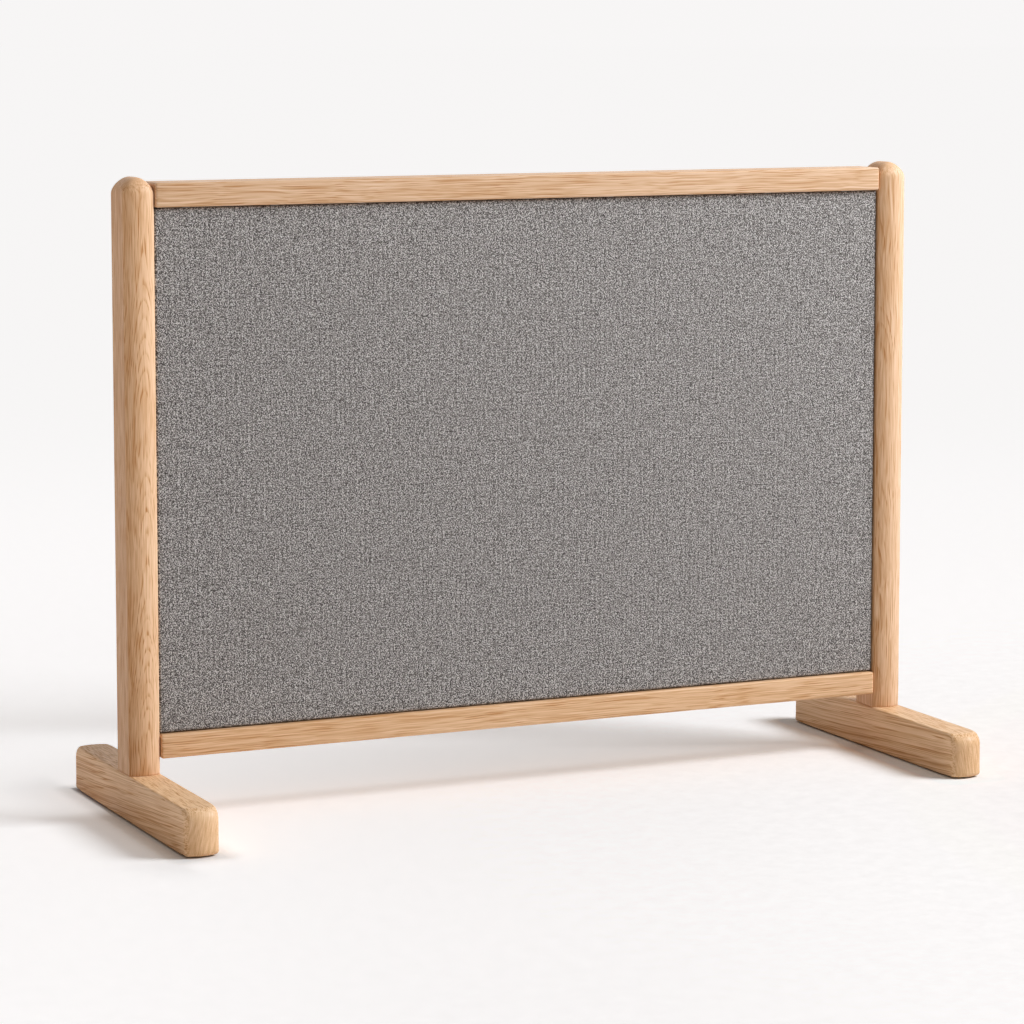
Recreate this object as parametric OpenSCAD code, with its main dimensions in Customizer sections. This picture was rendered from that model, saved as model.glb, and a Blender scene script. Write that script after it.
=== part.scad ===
// Free-standing acoustic divider screen.
// A solid oak frame (two posts, two rails) stands on two cross feet and holds
// an upholstered panel: a softwood inner frame with a heavy board in the middle,
// an absorber on each side of it and a fabric cover front and back.
// X runs along the panel, the front faces -Y, +Z is up.
// Origin: on the floor, in the middle between the ends of the feet. Millimetres.

/* [Overall] */
// Width over the outer faces of the two posts
screen_w = 1200; // [1000:10:1600]
// Height from the floor to the top of the posts
screen_h = 870; // [780:10:1400]

/* [Posts] */
// Width of a post, along the panel
post_w = 44; // [44:1:52]
// Depth of a post's flat sides
post_flat = 49; // [44:1:58]
// How far the front and the back of a post bow out
post_bow = 8; // [5:0.5:11]
// Height of the rounded top of a post
dome_h = 22; // [16:1:22]

/* [Rails] */
// Height of a rail
rail_h = 33; // [30:1:40]
// Depth of a rail, front to back
rail_d = 58; // [54:1:62]
// Rounding of a rail's long edges
rail_r = 3; // [1:0.5:5]
// Height of a post's top above the top rail
post_over = 7.5; // [6:0.5:20]
// Height of the gap under the bottom rail
under_gap = 84.5; // [84:0.5:160]

/* [Feet] */
// Width of a foot, along the panel
foot_w = 48; // [46:1:60]
// Length of a foot, front to back
foot_l = 475; // [400:5:600]
// How far the posts stand behind the middle of the feet
set_back = 22; // [0:1:40]
// Height of a foot's wooden block
foot_h = 62; // [56:1:64]
// Radius of a foot's upper end edge
foot_end_r = 17; // [8:1:24]
// Radius of a foot's lower end edge
foot_low_r = 6; // [2:0.5:8]
// How far a foot's end face bows out
foot_bow = 8; // [4:0.5:10]
// Rounding of a foot's long upper edges
foot_r = 3; // [1:0.5:5]
// Thickness of the pads under the feet
pad_t = 2; // [1.5:0.5:3]
// Length of one pad
pad_l = 90; // [60:5:110]

/* [Upholstered panel] */
// Thickness of the finished panel over both fabrics
panel_t = 44; // [34:1:48]
// Thickness of the fabric
fabric_t = 1.5; // [1:0.1:2]
// Shadow gap between the panel and the oak frame
reveal = 1.5; // [1.2:0.1:3]
// Width of the inner frame's stiles and battens
batten_w = 32; // [28:1:45]
// Thickness of the heavy board in the middle
board_t = 6; // [4:0.5:8]
// How far the board sits in the inner frame's groove
board_in = 4; // [3:0.5:6]

/* [Hardware] */
// Diameter of the dowels between rails and posts
rail_dowel_d = 10; // [8:1:10]
// Length of the dowels between rails and posts
rail_dowel_l = 40; // [30:2:44]
// Diameter of the dowels that locate the panel
panel_dowel_d = 8; // [6:1:8]
// Length of the dowels that locate the panel
panel_dowel_l = 30; // [24:2:32]
// Length of the bolts between feet and posts
bolt_l = 60; // [56:1:62]
// Distance between the two bolts of a foot
bolt_pitch = 32; // [28:1:34]
// Staples along a long edge of the panel
staples_long = 9; // [5:1:12]
// Staples along a short edge of the panel
staples_short = 6; // [3:1:8]

/* [Hidden] */
$fn = 64;
eps = 0.02;
skin = 0.3;

oak = "#d3a97e";
softwood = "#e3c89a";
board = "#8a6a4a";
felt = "#c9cbc8";
cloth = "#8d8985";
steel = "#b9bcc0";
beech = "#e0bd8f";
rubber = "#2b2a29";

// where the pieces lie
foot_top = pad_t + foot_h;
post_x = screen_w / 2 - post_w / 2;
post_inner = screen_w / 2 - post_w;
post_d = post_flat + 2 * post_bow;
post_arc_r = (pow(post_w / 2, 2) + pow(post_bow, 2)) / (2 * post_bow);
rail_top_z1 = screen_h - post_over;
rail_top_z0 = rail_top_z1 - rail_h;
rail_bot_z0 = under_gap;
rail_bot_z1 = under_gap + rail_h;
foot_arc_r = (pow(foot_w / 2, 2) + pow(foot_bow, 2)) / (2 * foot_bow);

// finished panel and its inner frame
pan_x = post_inner - reveal;
pan_z0 = rail_bot_z1 + reveal;
pan_z1 = rail_top_z0 - reveal;
fr_x = pan_x - fabric_t;
fr_z0 = pan_z0 + fabric_t;
fr_z1 = pan_z1 - fabric_t;
fr_y = panel_t / 2 - fabric_t;
pan_zm = (pan_z0 + pan_z1) / 2;

// hardware places
rail_dowel_y = 15;
rail_hole_d = rail_dowel_d + 0.2;
rail_hole_deep = rail_dowel_l / 2 + 1;
pin_hole_d = panel_dowel_d + 0.2;
pin_in_panel = (panel_dowel_l - reveal - fabric_t) / 2 + fabric_t;
pin_in_oak = panel_dowel_l - reveal - pin_in_panel;
pin_z = [for (k = [-1, 0, 1]) pan_zm + k * (pan_z1 - pan_z0) * 0.32];
pin_x = [for (k = [-1, 0, 1]) k * pan_x * 0.63];
bore_deep = 24;
washer_t = 1.8;
insert_d = 12;
insert_l = 18;
insert_gap = 0.5;
bolt_seat = pad_t + bore_deep - washer_t;
bolt_tip = bolt_seat + bolt_l;
screw_l = 35;
screw_d = 3.5;
staple_w = 10;
staple_t = 0.7;
staple_leg = 8;

// ---------- shared shapes ----------

// everything above the feet is drawn round y = 0 and stands set back on them
module on_feet() { translate([0, set_back, 0]) children(); }

// rectangle centred on x, standing on y = 0, own radii for upper and lower corners
module corner_rect(w, h, r_up, r_low) {
    difference() {
        translate([-w / 2, 0]) square([w, h]);
        for (s = [-1, 1]) {
            translate([s * (w / 2 - r_up), h - r_up]) difference() {
                translate([s > 0 ? 0 : -r_up - 1, 0]) square([r_up + 1, r_up + 1]);
                circle(r = r_up);
            }
            if (r_low > 0) translate([s * (w / 2 - r_low), r_low]) difference() {
                translate([s > 0 ? 0 : -r_low - 1, -r_low - 1]) square([r_low + 1, r_low + 1]);
                circle(r = r_low);
            }
        }
    }
}

// plan of a bar of length len along y whose two ends bow out
module bowed_bar_plan(w, len, bow, arc_r) {
    union() {
        square([w, len - 2 * bow], center = true);
        for (s = [-1, 1]) intersection() {
            translate([-w / 2, s > 0 ? len / 2 - bow - 1 : -len / 2]) square([w, bow + 1]);
            translate([0, s * (len / 2 - arc_r)]) circle(r = arc_r, $fn = 128);
        }
    }
}

// wooden dowel along z, centred, with chamfered ends
module dowel(d, l) {
    rotate_extrude() polygon([[0, -l / 2], [d / 2 - 1, -l / 2], [d / 2, -l / 2 + 1],
                              [d / 2, l / 2 - 1], [d / 2 - 1, l / 2], [0, l / 2]]);
}

// a hole of diameter d and depth h that goes into +x from the face x = 0
module hole_x(d, h) {
    translate([-eps, 0, 0]) rotate([0, 90, 0]) cylinder(d = d, h = h + eps);
}

// ---------- oak frame ----------

// the rounding shapes stand a little proud of the bar, so that no two faces
// of the intersection lie in each other
module post_body() {
    h = screen_h - foot_top;
    intersection() {
        translate([0, 0, foot_top]) linear_extrude(h + 2)
            bowed_bar_plan(post_w, post_d, post_bow, post_arc_r);
        translate([0, post_d / 2 + 1, foot_top - 1]) rotate([90, 0, 0]) linear_extrude(post_d + 2)
            corner_rect(post_w + 2 * skin, h + 1, dome_h + skin, 0);
        translate([-post_w / 2 - 1, 0, foot_top - 1]) rotate([90, 0, 90]) linear_extrude(post_w + 2)
            corner_rect(post_d + 2 * skin, h + 1 + skin, dome_h + skin, 0);
    }
}

// the left post: its inner face looks to +x
module post_left_shape() {
    difference() {
        translate([-post_x, 0, 0]) post_body();
        // rail dowels
        for (z = [rail_top_z0 + rail_h / 2, rail_bot_z0 + rail_h / 2], s = [-1, 1])
            translate([-post_inner, s * rail_dowel_y, z]) mirror([1, 0, 0])
                hole_x(rail_hole_d, rail_hole_deep);
        // panel dowels
        for (z = pin_z) translate([-post_inner, 0, z]) mirror([1, 0, 0])
            hole_x(pin_hole_d, pin_in_oak + 1);
        // threaded inserts and room for the bolt ends
        for (s = [-1, 1]) translate([-post_x, s * bolt_pitch / 2, foot_top - eps]) {
            cylinder(d = insert_d + 0.2, h = insert_l + insert_gap + eps);
            cylinder(d = 8.6, h = bolt_tip - foot_top + 4 + eps);
        }
    }
}

module left_post() { color(oak) on_feet() post_left_shape(); }
module right_post() { color(oak) on_feet() mirror([1, 0, 0]) post_left_shape(); }

// a rail whose inner edge, the one with the panel dowels, is its lower one
module rail_shape() {
    difference() {
        translate([-post_inner, 0, 0]) rotate([90, 0, 90]) linear_extrude(2 * post_inner)
            corner_rect(rail_d, rail_h, rail_r, rail_r);
        for (s = [-1, 1], t = [-1, 1])
            translate([-t * post_inner, s * rail_dowel_y, rail_h / 2])
                mirror([t > 0 ? 0 : 1, 0, 0]) hole_x(rail_hole_d, rail_hole_deep);
        for (x = pin_x) translate([x, 0, -eps])
            cylinder(d = pin_hole_d, h = pin_in_oak + 1 + eps);
    }
}

module top_rail() { color(oak) on_feet() translate([0, 0, rail_top_z0]) rail_shape(); }
module bottom_rail() {
    color(oak) on_feet() translate([0, 0, rail_bot_z1]) mirror([0, 0, 1]) rail_shape();
}

// ---------- feet ----------

module foot_shape() {
    difference() {
        intersection() {
            translate([0, 0, pad_t - 1]) linear_extrude(foot_h + 2)
                bowed_bar_plan(foot_w, foot_l, foot_bow, foot_arc_r);
            translate([-foot_w / 2 - 1, 0, pad_t - skin]) rotate([90, 0, 90])
                linear_extrude(foot_w + 2)
                corner_rect(foot_l + 2 * skin, foot_h + 2 * skin, foot_end_r + skin,
                            foot_low_r + skin);
            translate([0, foot_l / 2 + 1, pad_t]) rotate([90, 0, 0]) linear_extrude(foot_l + 2)
                corner_rect(foot_w + 2 * skin, foot_h, foot_r + skin, 2 + skin);
        }
        for (s = [-1, 1]) translate([0, set_back + s * bolt_pitch / 2, pad_t - eps]) {
            cylinder(d = 8.6, h = foot_h + 2 * eps);
            cylinder(d = 22, h = bore_deep + eps);
        }
    }
}

module left_foot() { color(oak) translate([-post_x, 0, 0]) foot_shape(); }
module right_foot() { color(oak) translate([post_x, 0, 0]) foot_shape(); }

// two pads with round ends, near the ends of a foot
module pad_pair() {
    w = foot_w - 12;
    for (s = [-1, 1]) translate([0, s * (foot_l / 2 - 12 - pad_l / 2), 0])
        linear_extrude(pad_t) union() {
            square([w, pad_l - w], center = true);
            for (t = [-1, 1]) translate([0, t * (pad_l - w) / 2]) circle(d = w);
        }
}

module left_foot_pads() { color(rubber) translate([-post_x, 0, 0]) pad_pair(); }
module right_foot_pads() { color(rubber) translate([post_x, 0, 0]) pad_pair(); }

// ---------- fasteners of the oak frame ----------

module socket_bolt(l) {
    difference() {
        union() {
            cylinder(d = 8, h = l);
            translate([0, 0, -8]) cylinder(d = 13, h = 8);
        }
        translate([0, 0, -8 - eps]) cylinder(d = 6.9, h = 4 + eps, $fn = 6);
    }
}

module at_bolts() {
    for (x = [-post_x, post_x], s = [-1, 1])
        translate([x, set_back + s * bolt_pitch / 2, 0]) children();
}

module foot_bolts() { color(steel) at_bolts() translate([0, 0, bolt_seat]) socket_bolt(bolt_l); }

module foot_washers() {
    color(steel) at_bolts() translate([0, 0, bolt_seat]) difference() {
        cylinder(d = 20, h = washer_t);
        translate([0, 0, -1]) cylinder(d = 8.6, h = washer_t + 2);
    }
}

// insert with a plain bore and a coarse outer thread drawn as rings
module insert_shape() {
    pitch = 3;
    rings = 5;
    rotate_extrude() polygon(concat(
        [[4.15, 0], [insert_d / 2, 0], [insert_d / 2, 1.5], [insert_d / 2 - 1, 2]],
        [for (k = [0 : rings - 1], q = [0, 1, 2])
            [insert_d / 2 - (q == 1 ? 0 : 1), 2.4 + k * pitch + q * 1.1]],
        [[insert_d / 2 - 1, insert_l], [4.15, insert_l]]));
}

module post_inserts() {
    color(steel) at_bolts() translate([0, 0, foot_top + insert_gap / 2]) insert_shape();
}

module rail_dowels() {
    color(beech) on_feet() for (z = [rail_top_z0 + rail_h / 2, rail_bot_z0 + rail_h / 2],
                                s = [-1, 1], t = [-1, 1])
        translate([t * post_inner, s * rail_dowel_y, z]) rotate([0, 90, 0])
            dowel(rail_dowel_d, rail_dowel_l);
}

// middle of a panel dowel, measured from the outside of the finished panel
pin_mid = (pin_in_oak + reveal - pin_in_panel) / 2;

module panel_dowels() {
    color(beech) on_feet() {
        for (t = [-1, 1], z = pin_z) translate([t * (pan_x + pin_mid), 0, z])
            rotate([0, 90, 0]) dowel(panel_dowel_d, panel_dowel_l);
        for (x = pin_x) {
            translate([x, 0, pan_z1 + pin_mid]) dowel(panel_dowel_d, panel_dowel_l);
            translate([x, 0, pan_z0 - pin_mid]) dowel(panel_dowel_d, panel_dowel_l);
        }
    }
}

// the holes of all panel dowels, as seen from the panel
module panel_pin_holes(d) {
    deep = 2 * (pin_in_panel + 1);
    for (t = [-1, 1], z = pin_z) translate([t * pan_x, 0, z]) rotate([0, 90, 0])
        cylinder(d = d, h = deep, center = true);
    for (x = pin_x, z = [pan_z0, pan_z1]) translate([x, 0, z])
        cylinder(d = d, h = deep, center = true);
}

// ---------- upholstered panel ----------

// staple places: [x, z, direction of the edge's outside, 0 = along z or 1 = along x]
stp_z = [for (k = [0 : staples_short - 1])
    fr_z0 + 34 + (fr_z1 - fr_z0 - 68) * (k + 0.1) / (staples_short - 0.8)];
stp_x = [for (k = [0 : staples_long - 1])
    -fr_x + 34 + (2 * fr_x - 68) * (k + 0.1) / (staples_long - 0.8)];

// one staple on the face z = 0 that looks to +z, its crown along x, legs down
module staple(grow) {
    translate([-staple_w / 2 - grow, -0.6 - grow, -grow])
        cube([staple_w + 2 * grow, 1.2 + 2 * grow, staple_t + 2 * grow]);
    for (s = [-1, 1]) translate([s * (staple_w - staple_t) / 2, 0, 0])
        translate([-staple_t / 2 - grow, -0.6 - grow, -staple_leg - grow])
            cube([staple_t + 2 * grow, 1.2 + 2 * grow, staple_leg + staple_t + grow]);
}

// all staples of one fabric: side -1 is the front one
module staple_row(side, grow) {
    y = side * fr_y * 0.55;
    for (z = stp_z, t = [-1, 1]) translate([t * pan_x, y, z])
        rotate([0, t * 90, 0]) staple(grow);
    for (x = stp_x) {
        translate([x, y, pan_z1]) staple(grow);
        translate([x, y, pan_z0]) mirror([0, 0, 1]) staple(grow);
    }
}

module front_fabric_staples() { color(steel) on_feet() staple_row(-1, 0); }
module back_fabric_staples() { color(steel) on_feet() staple_row(1, 0); }

// room for the heavy board and its groove
module board_box(extra) {
    bx = fr_x - batten_w + board_in + extra;
    bz = batten_w - board_in - extra;
    translate([-bx, -board_t / 2 - extra, fr_z0 + bz])
        cube([2 * bx, board_t + 2 * extra, fr_z1 - fr_z0 - 2 * bz]);
}

// corner screws: two in each half lap, driven from the back
module at_corner_screws() {
    for (t = [-1, 1], u = [-1, 1], k = [-1, 1])
        translate([t * (fr_x - batten_w / 2 + k * 8),
                   0,
                   (u > 0 ? fr_z1 - batten_w / 2 : fr_z0 + batten_w / 2) + k * u * 8])
            children();
}

module corner_screw(grow) {
    translate([0, fr_y, 0]) rotate([90, 0, 0]) {
        translate([0, 0, grow > 0 ? -eps : 0]) cylinder(d = screw_d + 2 * grow, h = screw_l + grow);
        rotate_extrude() polygon([[0, 0], [screw_d + grow, 0], [screw_d / 2 + grow, screw_d / 2],
                                  [0, screw_d / 2]]);
    }
}

module panel_corner_screws() {
    color(steel) on_feet() difference() {
        at_corner_screws() corner_screw(0);
        // cross recess in each head
        at_corner_screws() translate([0, fr_y, 0]) {
            cube([3.4, 2.4, 0.9], center = true);
            cube([0.9, 2.4, 3.4], center = true);
        }
    }
}

// everything that is cut out of the four pieces of the inner frame
module inner_frame_cuts() {
    board_box(0.2);
    panel_pin_holes(pin_hole_d);
    at_corner_screws() corner_screw(0.1);
    staple_row(-1, 0.1);
    staple_row(1, 0.1);
}

// a stile runs the full height behind the laps and stops short in front of them
module stile_left_shape() {
    difference() {
        union() {
            translate([-fr_x, 0, fr_z0]) cube([batten_w, fr_y, fr_z1 - fr_z0]);
            translate([-fr_x, -fr_y, fr_z0 + batten_w])
                cube([batten_w, fr_y + eps, fr_z1 - fr_z0 - 2 * batten_w]);
        }
        inner_frame_cuts();
    }
}

// a batten runs the full width in front of the laps and stops short behind them
module batten_shape(z) {
    difference() {
        union() {
            translate([-fr_x, -fr_y, z]) cube([2 * fr_x, fr_y, batten_w]);
            translate([-fr_x + batten_w, -eps, z])
                cube([2 * (fr_x - batten_w), fr_y + eps, batten_w]);
        }
        inner_frame_cuts();
    }
}

module panel_stile_left() { color(softwood) on_feet() stile_left_shape(); }
module panel_stile_right() { color(softwood) on_feet() mirror([1, 0, 0]) stile_left_shape(); }
module panel_batten_top() { color(softwood) on_feet() batten_shape(fr_z1 - batten_w); }
module panel_batten_bottom() { color(softwood) on_feet() batten_shape(fr_z0); }

module septum_board() { color(board) on_feet() board_box(0); }

// absorber slab between the board and a fabric
module absorber(side) {
    gap = 0.3;
    t = fr_y - board_t / 2 - 2 * gap;
    ax = fr_x - batten_w - gap;
    translate([-ax, side < 0 ? -fr_y + gap : board_t / 2 + gap, fr_z0 + batten_w + gap])
        cube([2 * ax, t, fr_z1 - fr_z0 - 2 * batten_w - 2 * gap]);
}

module front_absorber() { color(felt) on_feet() absorber(-1); }
module back_absorber() { color(felt) on_feet() absorber(1); }

// one fabric: stretched over a face and folded over the edges to near the middle
module fabric_shape(side) {
    lap = panel_t / 2 - 0.5;
    difference() {
        translate([-pan_x, side < 0 ? -panel_t / 2 : panel_t / 2 - lap, pan_z0])
            cube([2 * pan_x, lap, pan_z1 - pan_z0]);
        translate([-fr_x, side < 0 ? -fr_y : fr_y - lap - 1, fr_z0])
            cube([2 * fr_x, lap + 1, fr_z1 - fr_z0]);
        panel_pin_holes(pin_hole_d + 0.6);
        staple_row(side, 0.1);
    }
}

module front_fabric() { color(cloth) on_feet() fabric_shape(-1); }
module back_fabric() { color(cloth) on_feet() fabric_shape(1); }

left_post();
right_post();
top_rail();
bottom_rail();
left_foot();
right_foot();
left_foot_pads();
right_foot_pads();
foot_bolts();
foot_washers();
post_inserts();
rail_dowels();
panel_dowels();
panel_stile_left();
panel_stile_right();
panel_batten_top();
panel_batten_bottom();
panel_corner_screws();
septum_board();
front_absorber();
back_absorber();
front_fabric();
back_fabric();
front_fabric_staples();
back_fabric_staples();
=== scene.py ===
import math

import bpy
import numpy as np
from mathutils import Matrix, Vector


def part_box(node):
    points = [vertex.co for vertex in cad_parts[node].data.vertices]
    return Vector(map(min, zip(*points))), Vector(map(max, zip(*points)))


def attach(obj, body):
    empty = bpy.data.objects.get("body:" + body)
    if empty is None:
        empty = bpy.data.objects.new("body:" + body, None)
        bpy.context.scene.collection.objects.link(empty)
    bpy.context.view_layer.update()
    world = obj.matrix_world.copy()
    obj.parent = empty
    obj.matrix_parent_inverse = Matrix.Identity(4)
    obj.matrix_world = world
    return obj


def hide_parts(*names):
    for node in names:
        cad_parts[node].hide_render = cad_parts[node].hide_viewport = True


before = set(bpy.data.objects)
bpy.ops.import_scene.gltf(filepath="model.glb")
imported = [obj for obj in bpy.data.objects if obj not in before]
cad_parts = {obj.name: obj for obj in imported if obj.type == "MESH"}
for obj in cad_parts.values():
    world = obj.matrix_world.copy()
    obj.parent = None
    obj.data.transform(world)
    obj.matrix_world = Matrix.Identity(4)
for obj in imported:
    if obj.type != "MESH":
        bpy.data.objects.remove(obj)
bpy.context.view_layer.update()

MM = 0.001

# ---------------------------------------------------------------- camera

cam_data = bpy.data.cameras.new("camera")
cam_data.sensor_fit = "HORIZONTAL"
cam_data.sensor_width = 36.0
cam_data.lens = 126.711
cam_data.shift_y = -0.1
cam_data.clip_start, cam_data.clip_end = 0.1, 100.0
cam_data.dof.use_dof = False
camera = bpy.data.objects.new("camera", cam_data)
camera.location = (-2.1288, -4.5526, 1.0942)
camera.rotation_euler = (math.radians(90 - 6.37), 0.0, math.radians(-24.74))
bpy.context.scene.collection.objects.link(camera)
bpy.context.scene.camera = camera
bpy.context.scene.view_settings.view_transform = "Standard"
bpy.context.scene.view_settings.look = "None"

# ---------------------------------------------------------------- materials


class Tree:
    """Short calls for writing a material's node tree."""

    def __init__(self, name):
        self.mat = bpy.data.materials.new(name)
        self.mat.use_nodes = True
        self.tree = self.mat.node_tree
        self.tree.nodes.clear()
        self.out = self.node("ShaderNodeOutputMaterial")
        self.bsdf = self.node("ShaderNodeBsdfPrincipled")
        self.link(self.bsdf.outputs[0], self.out.inputs["Surface"])

    def node(self, kind, **props):
        n = self.tree.nodes.new(kind)
        for k, v in props.items():
            setattr(n, k, v)
        return n

    def link(self, a, b):
        self.tree.links.new(a, b)

    def put(self, socket, value):
        if isinstance(value, bpy.types.NodeSocket):
            self.link(value, socket)
        else:
            socket.default_value = value

    def math(self, op, a, b=0.0, c=0.0, clamp=False):
        n = self.node("ShaderNodeMath", operation=op, use_clamp=clamp)
        for s, v in zip(n.inputs, (a, b, c)):
            self.put(s, v)
        return n.outputs[0]

    def add(self, *vs):
        out = vs[0]
        for v in vs[1:]:
            out = self.math("ADD", out, v)
        return out

    def mul(self, a, b):
        return self.math("MULTIPLY", a, b)

    def sub(self, a, b):
        return self.math("SUBTRACT", a, b)

    def coords(self):
        return self.node("ShaderNodeTexCoord").outputs["Object"]

    def dot(self, a, vec):
        n = self.node("ShaderNodeVectorMath", operation="DOT_PRODUCT")
        self.put(n.inputs[0], a)
        n.inputs[1].default_value = vec
        return n.outputs["Value"]

    def length(self, a):
        n = self.node("ShaderNodeVectorMath", operation="LENGTH")
        self.put(n.inputs[0], a)
        return n.outputs["Value"]

    def xyz(self, x, y, z):
        n = self.node("ShaderNodeCombineXYZ")
        for s, v in zip(n.inputs, (x, y, z)):
            self.put(s, v)
        return n.outputs[0]

    def scaled(self, v, s, offset=(0, 0, 0)):
        n = self.node("ShaderNodeVectorMath", operation="MULTIPLY_ADD")
        self.put(n.inputs[0], v)
        n.inputs[1].default_value = s
        n.inputs[2].default_value = offset
        return n.outputs[0]

    def noise(self, v, detail=0.0, rough=0.5, distort=0.0):
        n = self.node("ShaderNodeTexNoise", noise_dimensions="3D")
        self.put(n.inputs["Vector"], v)
        n.inputs["Scale"].default_value = 1.0
        n.inputs["Detail"].default_value = detail
        n.inputs["Roughness"].default_value = rough
        n.inputs["Distortion"].default_value = distort
        return n.outputs["Fac"]

    def wave(self, v, scale, offset, detail=0.0, rough=0.5):
        """Noise round zero."""
        return self.sub(self.noise(self.scaled(v, scale, offset), detail, rough), 0.5)

    def cell(self, v):
        n = self.node("ShaderNodeTexWhiteNoise", noise_dimensions="1D")
        self.put(n.inputs["W"], v)
        return n.outputs["Value"]

    def smooth(self, v, lo, hi, a=0.0, b=1.0):
        n = self.node("ShaderNodeMapRange", interpolation_type="SMOOTHSTEP")
        self.put(n.inputs["Value"], v)
        n.inputs["From Min"].default_value = lo
        n.inputs["From Max"].default_value = hi
        n.inputs["To Min"].default_value = a
        n.inputs["To Max"].default_value = b
        return n.outputs["Result"]

    def span(self, v, lo, hi, a=0.0, b=1.0):
        n = self.node("ShaderNodeMapRange", interpolation_type="LINEAR", clamp=True)
        self.put(n.inputs["Value"], v)
        n.inputs["From Min"].default_value = lo
        n.inputs["From Max"].default_value = hi
        n.inputs["To Min"].default_value = a
        n.inputs["To Max"].default_value = b
        return n.outputs["Result"]

    def ramp(self, v, stops):
        n = self.node("ShaderNodeValToRGB")
        self.put(n.inputs[0], v)
        el = n.color_ramp.elements
        while len(el) < len(stops):
            el.new(0.5)
        for e, (pos, col) in zip(el, stops):
            e.position = pos
            e.color = (*col, 1.0)
        return n.outputs[0]

    def mix(self, fac, a, b, kind="MIX"):
        n = self.node("ShaderNodeMix", data_type="RGBA", blend_type=kind)
        self.put(n.inputs["Factor"], fac)
        for s, v in ((n.inputs[6], a), (n.inputs[7], b)):
            self.put(s, (*v, 1.0) if isinstance(v, tuple) else v)
        return n.outputs[2]

    def bump(self, height, distance, strength=1.0, normal=None):
        n = self.node("ShaderNodeBump")
        n.inputs["Strength"].default_value = strength
        n.inputs["Distance"].default_value = distance
        self.put(n.inputs["Height"], height)
        if normal is not None:
            self.link(normal, n.inputs["Normal"])
        return n.outputs[0]


# how oak changes from its darkest streaks to its palest, against its middle colour
OAK_SHADES = [
    (0.00, (0.640, 0.450, 0.250)),
    (0.25, (0.795, 0.670, 0.510)),
    (0.50, (0.965, 0.945, 0.910)),
    (0.72, (1.095, 1.150, 1.230)),
    (1.00, (1.190, 1.330, 1.540)),
]


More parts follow.
